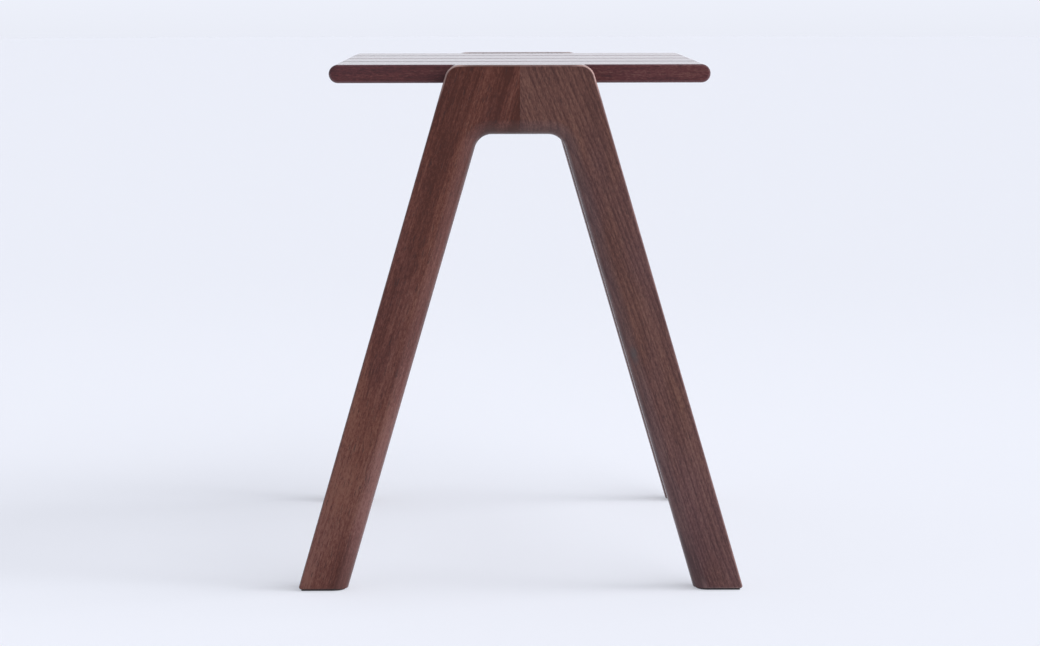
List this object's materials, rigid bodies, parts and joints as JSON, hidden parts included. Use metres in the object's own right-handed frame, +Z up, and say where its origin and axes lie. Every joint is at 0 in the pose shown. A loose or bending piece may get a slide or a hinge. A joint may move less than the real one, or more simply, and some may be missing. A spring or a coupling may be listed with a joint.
{
  "type": "slatted bench",
  "caption": "Small walnut bench with a flat slatted seat, round-ended slats and splayed legs mitred into A-shaped end frames.",
  "frame": {"origin": "on the floor under the middle of the seat", "axes": "+X along the slats, +Y from the near frame to the far frame, +Z up"},
  "size_m": [0.381, 0.45, 0.45],
  "materials": {
    "walnut_frame": "oiled walnut, satin, grain along each leg",
    "walnut_slat": "oiled walnut, satin, grain along each slat",
    "beech": "bare beech, glued joints",
    "zinc_steel": "zinc plated",
    "pad_rubber": "matt dark rubber"
  },
  "bodies": {
    "root": {"near_left_leg": "walnut_frame", "near_right_leg": "walnut_frame", "far_left_leg": "walnut_frame", "far_right_leg": "walnut_frame", "left_rail": "walnut_frame", "right_rail": "walnut_frame", "slat_1": "walnut_slat", "slat_2": "walnut_slat", "slat_3": "walnut_slat", "slat_4": "walnut_slat", "near_upper_mitre_tenon": "beech", "near_lower_mitre_tenon": "beech", "far_upper_mitre_tenon": "beech", "far_lower_mitre_tenon": "beech", "near_left_lower_dowel": "beech", "near_left_upper_dowel": "beech", "near_right_lower_dowel": "beech", "near_right_upper_dowel": "beech", "far_left_lower_dowel": "beech", "far_left_upper_dowel": "beech", "far_right_lower_dowel": "beech", "far_right_upper_dowel": "beech", "slat_1_left_screw": "zinc_steel", "slat_1_right_screw": "zinc_steel", "slat_2_left_screw": "zinc_steel", "slat_2_right_screw": "zinc_steel", "slat_3_left_screw": "zinc_steel", "slat_3_right_screw": "zinc_steel", "slat_4_left_screw": "zinc_steel", "slat_4_right_screw": "zinc_steel", "near_left_foot_pad": "pad_rubber", "near_right_foot_pad": "pad_rubber", "far_left_foot_pad": "pad_rubber", "far_right_foot_pad": "pad_rubber"}
  },
  "joints": []
}
